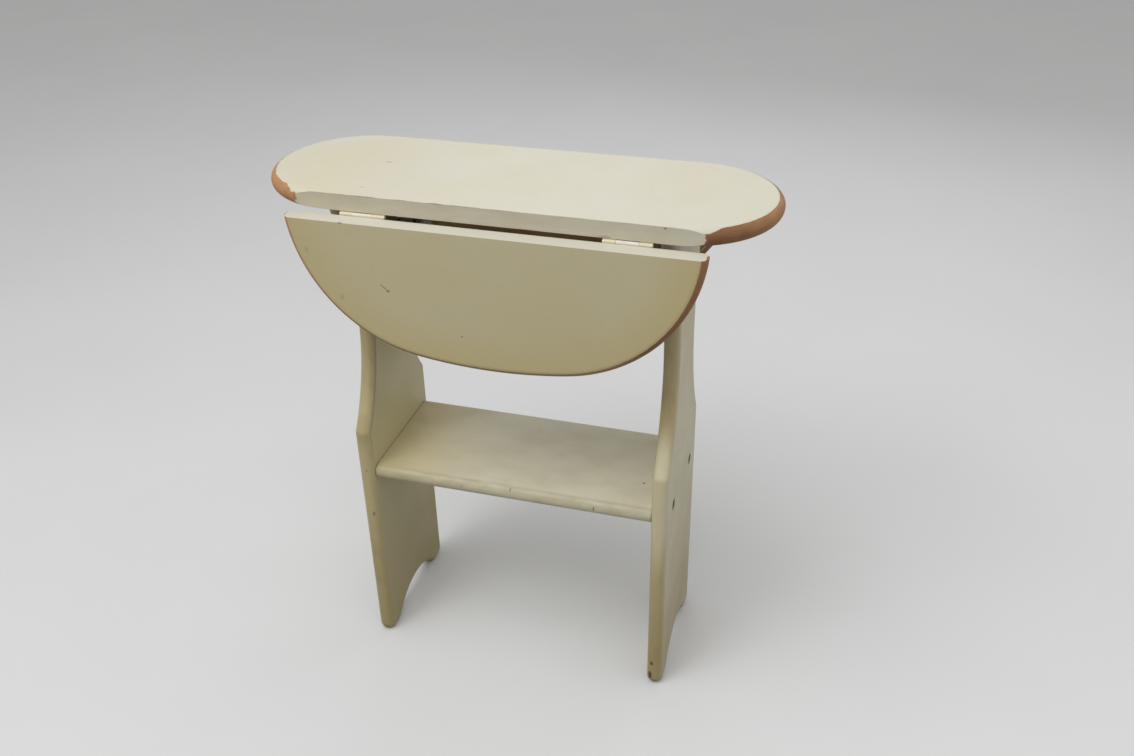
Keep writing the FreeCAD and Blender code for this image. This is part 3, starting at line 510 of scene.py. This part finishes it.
# Darker rim spots: the left one rubbed by hands, the right one painted shade under the hanging leaf
RUBBED_AND_SHADED_SPOTS = [
    ((-182, PANEL_FRONT, 330), (14, 14, 34), 0.35),
    ((182, PANEL_FRONT + 20, 400), (14, 20, 60), 0.25),
]
# A painted highlight on the right rim about the kink
HIGHLIGHT_SPOTS = [((182, PANEL_FRONT, 298), (16, 34, 108), 0.82)]
# The paint is dark round the sunk screws, over these radii: chipped paint and painted shade that
# widens each counterbore's shaded hollow
DARK_RING_RADII, DARK_RING = (5, 7.4, 7.8), 0.8


def sunk_screw_spots():
    """Give a dark spot, chipped paint and painted shade, where each sunk screw's head lies, on the
    panels' outer faces.
    """
    spots = []
    for side in ("left", "right"):
        for number in (1, 2):
            low, high = box_mm(f"{side}_shelf_screw_{number}")
            head = high.x if side == "right" else low.x
            centre = (head, (low.y + high.y) / 2, (low.z + high.z) / 2)
            spots.append((centre, DARK_RING_RADII, DARK_RING))
    return spots


def rim_colour(tree, place, height):
    """The rim's cream: rubbed in patches and by hands, with painted shade high on the right, a
    painted highlight on the right and painted light on top.
    """
    colour = cream_colour(tree, place, RIM_CREAM, RIM_YELLOWED)
    rubbed = patches(tree, place, size=16, detail=4.0, limit=0.56, blur=0.1, stretch=(1, 1, 2))
    rubbed = add(tree, "ShaderNodeMath", {0: rubbed, 1: 0.28}, operation="MULTIPLY")
    inputs = {0: rubbed, 1: marks(tree, place, RUBBED_AND_SHADED_SPOTS)}
    rubbed = add(tree, "ShaderNodeMath", inputs, operation="MAXIMUM")
    colour = blend(tree, rubbed, colour, RIM_RUBBED)
    # Painted highlight: a pale patch on the right rim about the kink
    colour = blend(tree, marks(tree, place, HIGHLIGHT_SPOTS), colour, RIM_HIGHLIGHT)
    # Painted light: under the top, where little light reaches, the rim is drawn paler
    lit_top = passing(tree, height, limit=PANEL_HIGH.z - 30, blur=25)
    return blend(tree, lit_top, colour, RIM_LIT)


def panel_paint():
    """Cream enamel on a side panel: yellowed on its rounded edges, chipped at the foot."""
    material, tree, shader, place = new_material("cream_enamel_side_panel", IOR=ENAMEL_IOR)
    axes = add(tree, "ShaderNodeSeparateXYZ", {0: place}).node.outputs
    facing = add(tree, "ShaderNodeTexCoord", take="Normal")
    tilt = add(tree, "ShaderNodeSeparateXYZ", {0: facing}, take="Y")
    tilt = add(tree, "ShaderNodeMath", {0: tilt}, operation="ABSOLUTE")
    across = add(tree, "ShaderNodeMath", {0: axes["X"]}, operation="ABSOLUTE")
    outer = passing(tree, across, limit=PANEL_MIDDLE, blur=6)
    face = blend(tree, outer, PANEL_INNER_CREAM, PANEL_OUTER_CREAM)
    face = cream_colour(tree, place, face, CREAM_AGED)
    inputs = {"Value": tilt, "From Min": 0.1, "From Max": 0.8, "To Max": 0.85}
    edge = add(tree, "ShaderNodeMapRange", inputs)
    colour = blend(tree, edge, face, rim_colour(tree, place, axes["Z"]))
    # A thin darker line, dirt and painted shade, lies where the inner face turns into the rim, most
    # of it high up
    line = passing(tree, tilt, limit=0.08, blur=0.06)
    inner = add(tree, "ShaderNodeMath", {0: 1.0, 1: outer}, operation="SUBTRACT")
    inputs = {"Value": tilt, "From Min": 0.5, "From Max": 0.15, "To Max": 0.45}
    before_rim = add(tree, "ShaderNodeMapRange", inputs)
    high_up = passing(tree, axes["Z"], limit=290, blur=60)
    for share in (inner, before_rim, high_up):
        line = add(tree, "ShaderNodeMath", {0: line, 1: share}, operation="MULTIPLY")
    colour = blend(tree, line, colour, RIM_LINE_DIRT_AND_SHADE)
    # Painted shade: the lower part is drawn darker and brownish towards the floor
    inputs = {"Value": axes["Z"], "From Min": 270, "From Max": 20, "To Max": 0.6}
    low_shade = add(tree, "ShaderNodeMapRange", inputs, interpolation_type="SMOOTHSTEP")
    colour = blend(tree, low_shade, colour, LOW_SHADE)
    worn = marks(tree, place, PANEL_SPOTS + sunk_screw_spots())
    colour = blend(tree, worn, colour, BARE_BOARD)
    finish_enamel(tree, shader, place, colour, BRUSHED_Z, worn)
    return material


# The shelf

SHELF_SHADED_LEFT, SHELF_CREAM = "#CFC49B", "#E0DCC4"
SHELF_RUBBED = "#A98E66"
NOSE_SHADE = "#A89E7C"
CORNER_DARK = "#6F5A38"
SHELF_NOSE = SHELF_LOW.y
SHELF_SPOTS = [
    ((1, SHELF_NOSE + 3, 262), (0.9, 3, 3), 0.55), ((104, SHELF_NOSE, 256), (0.9, 3, 3.4), 0.7),
    ((152, -29, SHELF_HIGH.z), (1.6, 1.6, 2), 0.7), ((-60, SHELF_NOSE, 257), (1.2, 3, 1.2), 0.35),
]


def shelf_paint():
    """Cream enamel on the shelf: rubbed brown in clouds on top, with painted shade on its left end
    and noses, darker where it meets the panels.
    """
    material, tree, shader, place = new_material("cream_enamel_shelf", IOR=ENAMEL_IOR)
    axes = add(tree, "ShaderNodeSeparateXYZ", {0: place}).node.outputs
    # Painted shade: the left end is drawn darker and yellower, shaded by the left panel with warm
    # bounce from it
    right = passing(tree, axes["X"], limit=-105, blur=55)
    fresh = blend(tree, right, SHELF_SHADED_LEFT, SHELF_CREAM)
    above = passing(tree, axes["Z"], limit=SHELF_HIGH.z - 1, blur=0.8)
    rubbed = patches(tree, place, size=34, detail=6.0, limit=0.54, blur=0.2, stretch=(1.6, 1, 1))
    rubbed = add(tree, "ShaderNodeMath", {0: rubbed, 1: above}, operation="MULTIPLY")
    colour = cream_colour(tree, place, fresh, CREAM_YELLOWED)
    colour = blend(tree, rubbed, colour, SHELF_RUBBED, strength=0.2)
    # Painted shade: the noses are darkened in streaks, so that they come out no brighter than the
    # top
    away = add(tree, "ShaderNodeMath", {0: axes["Y"]}, operation="ABSOLUTE")
    dulled_and_shaded = passing(tree, away, limit=SHELF_HIGH.y - 7.5, blur=2.5)
    streaks = cloud(tree, place, size=8, detail=4.0, stretch=(3, 1, 1))
    dulled_and_shaded = add(tree, "ShaderNodeMath", {0: dulled_and_shaded, 1: streaks}, operation="MULTIPLY")
    colour = blend(tree, dulled_and_shaded, colour, NOSE_SHADE, strength=0.9)
    # The shelf is darker in the corners with the panels, up to a ragged line
    end = add(tree, "ShaderNodeMath", {0: axes["X"]}, operation="ABSOLUTE")
    ragged = cloud(tree, place, size=5)
    end = add(tree, "ShaderNodeMath", {0: ragged, 1: 2.5, 2: end}, operation="MULTIPLY_ADD")
    darkening = passing(tree, end, limit=SHELF_HIGH.x + 0.2, blur=1.3)
    colour = blend(tree, darkening, colour, CORNER_DARK, strength=0.75)
    worn = marks(tree, place, SHELF_SPOTS)
    colour = blend(tree, worn, colour, BARE_BOARD)
    finish_enamel(tree, shader, place, colour, BRUSHED_X, worn)
    return material


def batten_paint():
    """The same enamel on the battens under the top, grimier where no one wipes it."""
    material, tree, shader, place = new_material("cream_enamel_batten", IOR=ENAMEL_IOR)
    colour = cream_colour(tree, place, CREAM, CREAM_YELLOWED, darkening=0.15)
    finish_enamel(tree, shader, place, colour, BRUSHED_Y)
    return material


# Metal

# The sunk screws' heads are a darker cream: painted shade at the bottom of their counterbores
FLAP_CREAM, KNUCKLE_CREAM, SUNK_SHADED_CREAM = "#DBD2B6", "#E0DDD2", "#958A68"
STEEL_RUBBED = "#8E8873"
# The depths in mm of the paint's drops and of the strip's rolling lines
DROP_RELIEF, ROLLING_RELIEF = 0.08, 0.02
ZINC, ZINC_BLOOM = "#A3A097", "#7D7568"
# Rolling lines are about 0.1 mm apart, drawn at 0.35 mm so that they show
ROLLING_GAP = 0.35


def painted_steel(name, fresh):
    """Steel brushed over with the same enamel: fuller and glossier, with a worn knuckle line."""
    material, tree, shader, place = new_material(f"cream_enamel_on_{name}", IOR=ENAMEL_IOR)
    rubbed = patches(tree, place, size=1.6, detail=4.0, limit=0.66, blur=0.05, stretch=(6, 1, 1))
    colour = blend(tree, rubbed, cream_colour(tree, place, fresh), STEEL_RUBBED, strength=0.45)
    tree.links.new(colour, shader.inputs["Base Color"])
    drops = cloud(tree, place, size=1.2, detail=2.0)
    inputs = {"Height": drops, "Strength": 0.3, "Distance": DROP_RELIEF * MM}
    tree.links.new(add(tree, "ShaderNodeBump", inputs, take="Normal"), shader.inputs["Normal"])
    inputs = {"Value": drops, "To Min": 0.24, "To Max": 0.42}
    tree.links.new(add(tree, "ShaderNodeMapRange", inputs), shader.inputs["Roughness"])
    return material


def zinc_steel():
    """Old zinc plated steel strip: dull grey metal, fine rolling lines and a brownish bloom."""
    material, tree, shader, place = new_material("zinc_plated_steel", Metallic=1.0)
    clean = patches(tree, place, size=7, detail=4.0, limit=0.5, blur=0.2)
    tree.links.new(blend(tree, clean, ZINC_BLOOM, ZINC), shader.inputs["Base Color"])
    lines = cloud(tree, place, size=ROLLING_GAP, detail=2.0, stretch=(1, 40, 1))
    rough = add(tree, "ShaderNodeMath", {0: lines, 1: 0.2, 2: 0.36}, operation="MULTIPLY_ADD")
    tree.links.new(rough, shader.inputs["Roughness"])
    inputs = {"Height": lines, "Strength": 0.2, "Distance": ROLLING_RELIEF * MM}
    tree.links.new(add(tree, "ShaderNodeBump", inputs, take="Normal"), shader.inputs["Normal"])
    return material


# Screws. Sizes are in millimetres, and a recess is its arm, width and depth.

SMALL_SCREW = {"head": 2.8, "shank": 1.4, "length": 12, "head_height": 1.4, "straight": False,
               "recess": (1.7, 0.85, 1.0)}
CLEAT_SCREW = {"head": 4, "shank": 2, "length": 30, "head_height": 2, "straight": False,
               "recess": (2.3, 1.1, 1.5)}
SHELF_SCREW = {"head": 5.25, "shank": 2.5, "length": 40, "head_height": 3, "straight": True,
               "recess": (2.9, 1.5, 1.9)}
# How many points lie round a ring, and how many rings across the face
AROUND = 96
FACE_RINGS = 14
# The recess's walls slope in over these shares of its width and of its arm
SIDE_SLOPE, END_SLOPE = 0.25, 0.3
# Each screw is turned this much further than the one before, and an edge flatter than this
# looks smooth, in radians
SCREW_TURN = 0.9
SMOOTH_BELOW = math.radians(35)


def cross_depth(radius, angle, arm, width, depth):
    """Depth of a cross recess: four tapering arms, with walls that slope in over a short run.

    Each place is measured along and beside its nearest arm. From there the depth falls from
    full to nothing over the side wall's slope and over the end wall's.
    """
    folded = (angle + math.pi / 4) % (math.pi / 2) - math.pi / 4
    along = radius * np.cos(folded)
    beside = np.abs(radius * np.sin(folded))
    side_wall = np.clip((width / 2 - beside) / (SIDE_SLOPE * width), 0, 1)
    end_wall = np.clip((arm - along) / (END_SLOPE * arm), 0, 1)
    return depth * side_wall * end_wall


def screw_surface(head, shank, length, head_height, straight, recess):
    """Turned screw as a grid of rings, each its radius times the cosine and sine of the angle.

    The face is flat less the cross recess. Below it come the head, a cone or straight-sided, and
    the shank, which narrows over its last two radii to a blunt point.
    """
    rings = np.linspace(0, 1, FACE_RINGS + 1)[1:] * head
    angle = np.arange(AROUND) * 2 * np.pi / AROUND
    radius, turn = np.meshgrid(rings, angle, indexing="ij")
    face_z = cross_depth(radius, turn, *recess)
    profile = [(head, head_height)] if straight else []
    profile += [(shank, head_height), (shank, length - 2 * shank)]
    profile += [(0.35 * shank, length - 0.5 * shank)]
    below = np.array(profile)
    radius = np.vstack([radius, np.repeat(below[:, :1], AROUND, 1)])
    z = np.vstack([face_z, np.repeat(below[:, 1:], AROUND, 1)])
    turn = np.broadcast_to(angle, radius.shape)
    grid = np.stack([radius * np.cos(turn), radius * np.sin(turn), z], -1)
    ends = np.array([[0, 0, recess[-1]], [0, 0, length]])
    return grid, ends


def ring_faces(ring_count):
    """Quads between rings, and a fan of triangles to the point that closes each end."""
    first = np.arange(AROUND)
    after = (first + 1) % AROUND
    row = (np.arange(ring_count - 1) * AROUND)[:, None]
    quads = np.stack([row + first, row + AROUND + first, row + AROUND + after, row + after], -1)
    total = ring_count * AROUND
    last = total - AROUND
    near = np.stack([np.full(AROUND, total), first, after], -1)
    far = np.stack([np.full(AROUND, total + 1), last + after, last + first], -1)
    return quads.reshape(-1, 4).tolist() + near.tolist() + far.tolist()


def build_screw(node, direction, sizes, finish, spin):
    """Build a screw in place of a node, its face at the end that its direction leaves."""
    grid, ends = screw_surface(**sizes)
    points = np.vstack([grid.reshape(-1, 3), ends])
    cos, sin = math.cos(spin), math.sin(spin)
    points = points @ np.array([[cos, sin, 0], [-sin, cos, 0], [0, 0, 1]])
    turn = np.array(Vector((0, 0, 1)).rotation_difference(Vector(direction)).to_matrix())
    low, high = box_mm(node)
    aim = np.array(direction)
    face = np.where(aim > 0, low, np.where(aim < 0, high, (low + high) / 2))
    points = (points @ turn.T + face) * MM
    mesh = bpy.data.meshes.new(f"{node}_detail")
    mesh.from_pydata(points.tolist(), [], ring_faces(len(grid)))
    mesh.validate()
    mesh.shade_smooth()
    mesh.set_sharp_from_angle(angle=SMOOTH_BELOW)
    mesh.materials.append(finish)
    piece = bpy.data.objects.new(f"{node}_detail", mesh)
    bpy.context.scene.collection.objects.link(piece)
    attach(piece, nodes[node]["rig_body"])
    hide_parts(node)


def screw_direction(node):
    """Give the way a screw points: up into the top, or across into a panel, the shelf or a leaf."""
    outwards = -1 if node.startswith(("left", "front")) else 1
    if "cleat_board" in node or "hinge_board" in node:
        return 0, 0, 1
    if "cleat_panel" in node:
        return outwards, 0, 0
    if "shelf" in node:
        return -outwards, 0, 0
    return 0, outwards, 0


def build_screws(painted, sunk, plated):
    """Replace every screw by one with a cross recess, each turned its own way."""
    for number, node in enumerate(sorted(name for name in nodes if "screw" in name)):
        sizes = CLEAT_SCREW if "cleat" in node else SHELF_SCREW if "shelf" in node else SMALL_SCREW
        finish = painted if "hinge" in node else sunk if "shelf" in node else plated
        build_screw(node, screw_direction(node), sizes, finish, spin=number * SCREW_TURN)


def paint_nodes():
    """Give every node that stays its finish, and give the three finishes that screws take."""
    board, leaf, panel = board_paint(), leaf_paint(), panel_paint()
    shelf, batten = shelf_paint(), batten_paint()
    flap = painted_steel("flap", FLAP_CREAM)
    knuckle = painted_steel("middle_knuckle", KNUCKLE_CREAM)
    # Darker cream on the sunk screws: painted shade in their counterbores
    sunk = painted_steel("sunk_screw", SUNK_SHADED_CREAM)
    stay = zinc_steel()
    finishes = {
        "centre_board": board, "leaf": leaf, "side_panel": panel, "shelf": shelf, "cleat": batten,
        "board_flap": flap, "leaf_flap": knuckle, "pin": flap,
        "stay_bracket": stay, "stay_rivet": stay, "stay_stud": stay, "stay_arm": stay,
    }
    for name, node in nodes.items():
        finish = next((finishes[ending] for ending in finishes if name.endswith(ending)), None)
        if finish is not None:
            for slot in node.material_slots:
                slot.material = finish
    return flap, sunk, stay


# Stage, lights and camera, in metres

FLOOR_HALF = 14
FLOOR_PALE, FLOOR_PALEST, FLOOR_BOUNCED = "#DDDEE0", "#E4E5E6", "#8C8B87"
ROOM_LIGHT, ROOM_SEEN = "#F6F5F2", "#DADADA"
ROOM_STRENGTH = 0.5
# Each lamp's place, target, width and height, and watts
LAMPS = {
    "ceiling_panel": ((-0.4, -0.8, 2.5), (0, 0, 0.5), (2.2, 1.4), 24),
    "front_panel": ((-1.0, -1.5, 2.4), (0, 0, 0.35), (1.0, 0.8), 12),
    "side_wall": ((1.5, 0.1, 1.1), (0, 0, 0.5), (1.6, 1.2), 3.2),
    "rear_wall": ((0.2, 1.8, 1.4), (0, 0, 0.4), (2.4, 1.4), 6),
}
# The photograph's camera: its place, its turns in radians and its lens on a 36 mm sensor
CAMERA_PLACE = (0.38279, -1.09451, 1.06784)
YAW, PITCH, ROLL = 0.2951, 0.5424, -0.0192
SENSOR_WIDTH, FOCAL_LENGTH = 36, 35.926


def seen_share(tree):
    """Give 1 for rays that show the background, straight or in gloss, and 0 for the rest."""
    rays = add(tree, "ShaderNodeLightPath").node.outputs
    share = rays["Is Camera Ray"]
    for kind in ("Is Glossy Ray", "Is Transmission Ray"):
        inputs = {0: share, 1: rays[kind]}
        share = add(tree, "ShaderNodeMath", inputs, operation="ADD", use_clamp=True)
    return share


def build_floor():
    """A plain pale floor that fills the view, and throws back less light than it shows."""
    material, tree, shader, place = new_material("pale_floor", Roughness=0.7)
    tone = blend(tree, cloud(tree, place, size=400), FLOOR_PALE, FLOOR_PALEST)
    tone = blend(tree, seen_share(tree), FLOOR_BOUNCED, tone)
    tree.links.new(tone, shader.inputs["Base Color"])
    corners = [(x * FLOOR_HALF, y * FLOOR_HALF, 0) for x, y in ((-1, -1), (1, -1), (1, 1), (-1, 1))]
    mesh = bpy.data.meshes.new("floor")
    mesh.from_pydata(corners, [], [(0, 1, 2, 3)])
    mesh.materials.append(material)
    floor = bpy.data.objects.new("floor", mesh)
    bpy.context.scene.collection.objects.link(floor)


def build_lamp(name, spot, target, size, watts):
    """A soft rectangular lamp that faces a target."""
    lamp = bpy.data.lights.new(name, "AREA")
    lamp.shape = "RECTANGLE"
    lamp.size, lamp.size_y = size
    lamp.energy = watts
    holder = bpy.data.objects.new(name, lamp)
    turn = (Vector(target) - Vector(spot)).to_track_quat("-Z", "Y").to_matrix().to_4x4()
    holder.matrix_world = Matrix.Translation(spot) @ turn
    bpy.context.scene.collection.objects.link(holder)


def build_light():
    """Soft light from above and the front left, a weak glow from the right and behind."""
    world = bpy.data.worlds.new("soft_room")
    world.use_nodes = True
    tree = world.node_tree
    background = tree.nodes["Background"]
    tone = blend(tree, seen_share(tree), ROOM_LIGHT, ROOM_SEEN)
    tree.links.new(tone, background.inputs["Color"])
    background.inputs["Strength"].default_value = ROOM_STRENGTH
    bpy.context.scene.world = world
    for name, (spot, target, size, watts) in LAMPS.items():
        build_lamp(name, spot, target, size, watts)


def build_camera():
    """The photograph's camera: it looks along yaw and pitch, and rolls about that line."""
    level = Vector((math.cos(YAW), math.sin(YAW), 0))
    ahead = Vector((-math.sin(YAW), math.cos(YAW), 0))
    forward = math.cos(PITCH) * ahead - math.sin(PITCH) * Vector((0, 0, 1))
    upright = level.cross(forward)
    right = math.cos(ROLL) * level + math.sin(ROLL) * upright
    up = math.cos(ROLL) * upright - math.sin(ROLL) * level
    lens = bpy.data.cameras.new("photo_camera")
    lens.sensor_fit = "HORIZONTAL"
    lens.sensor_width = SENSOR_WIDTH
    lens.lens = FOCAL_LENGTH
    camera = bpy.data.objects.new("photo_camera", lens)
    turn = Matrix((right, up, -forward)).transposed().to_4x4()
    camera.matrix_world = Matrix.Translation(CAMERA_PLACE) @ turn
    bpy.context.scene.collection.objects.link(camera)
    bpy.context.scene.camera = camera


build_camera()
build_screws(*paint_nodes())
build_floor()
build_light()
bpy.context.scene.view_settings.view_transform = "Standard"
